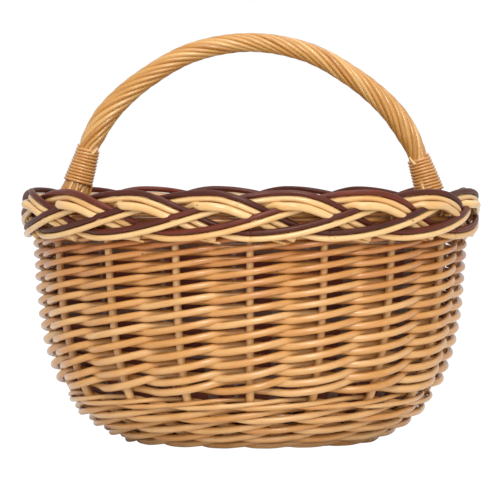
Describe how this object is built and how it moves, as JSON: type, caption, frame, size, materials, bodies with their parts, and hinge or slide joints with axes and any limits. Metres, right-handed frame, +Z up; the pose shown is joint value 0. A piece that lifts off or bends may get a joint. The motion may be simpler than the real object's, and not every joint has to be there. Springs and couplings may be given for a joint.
{
  "type": "wicker shopping basket",
  "caption": "Oval woven willow shopping basket with flat woven base, plaited rim, cloth lining and a roped bow handle.",
  "frame": {"origin": "centre of the base on the surface it stands on", "axes": "+Z up through the handle, +X along the basket's length and the handle's span, -Y to the front"},
  "size_m": [0.441, 0.343, 0.389],
  "materials": {
    "buff_willow": "satin",
    "dark_willow": "satin",
    "handle_willow": "satin",
    "split_willow": "satin",
    "lining_cloth": "matt"
  },
  "bodies": {
    "root": {"stake_01": "buff_willow", "stake_02": "buff_willow", "stake_03": "buff_willow", "stake_04": "buff_willow", "stake_05": "buff_willow", "stake_06": "buff_willow", "stake_07": "buff_willow", "stake_08": "buff_willow", "stake_09": "buff_willow", "stake_10": "buff_willow", "stake_11": "buff_willow", "stake_12": "buff_willow", "stake_13": "buff_willow", "stake_14": "buff_willow", "stake_15": "buff_willow", "stake_16": "buff_willow", "siding_weaver_01": "buff_willow", "siding_weaver_02": "buff_willow", "siding_weaver_03": "buff_willow", "siding_weaver_04": "buff_willow", "siding_weaver_05": "buff_willow", "siding_weaver_06": "buff_willow", "siding_weaver_07": "buff_willow", "siding_weaver_08": "buff_willow", "siding_weaver_09": "buff_willow", "siding_weaver_10": "buff_willow", "siding_weaver_11": "buff_willow", "siding_weaver_12": "buff_willow", "siding_weaver_13": "buff_willow", "siding_weaver_14": "buff_willow", "siding_weaver_15": "buff_willow", "siding_weaver_16": "buff_willow", "wale_rod_1": "buff_willow", "wale_rod_2": "buff_willow", "wale_rod_3": "buff_willow", "base_stick_long_1": "buff_willow", "base_stick_long_2": "buff_willow", "base_stick_long_3": "buff_willow", "base_stick_short_1": "buff_willow", "base_stick_short_2": "buff_willow", "base_stick_short_3": "buff_willow", "base_stick_short_4": "buff_willow", "base_stick_short_5": "buff_willow", "base_weaver_1": "buff_willow", "base_weaver_2": "buff_willow", "plait_strand_1": "dark_willow", "plait_strand_2": "dark_willow", "plait_strand_3": "dark_willow", "plait_strand_4": "dark_willow", "handle_core": "handle_willow", "handle_roping": "handle_willow", "roping_ends_left": "handle_willow", "roping_ends_right": "handle_willow", "binding_left": "split_willow", "binding_right": "split_willow", "lining_side": "lining_cloth", "lining_base": "lining_cloth"}
  },
  "joints": []
}
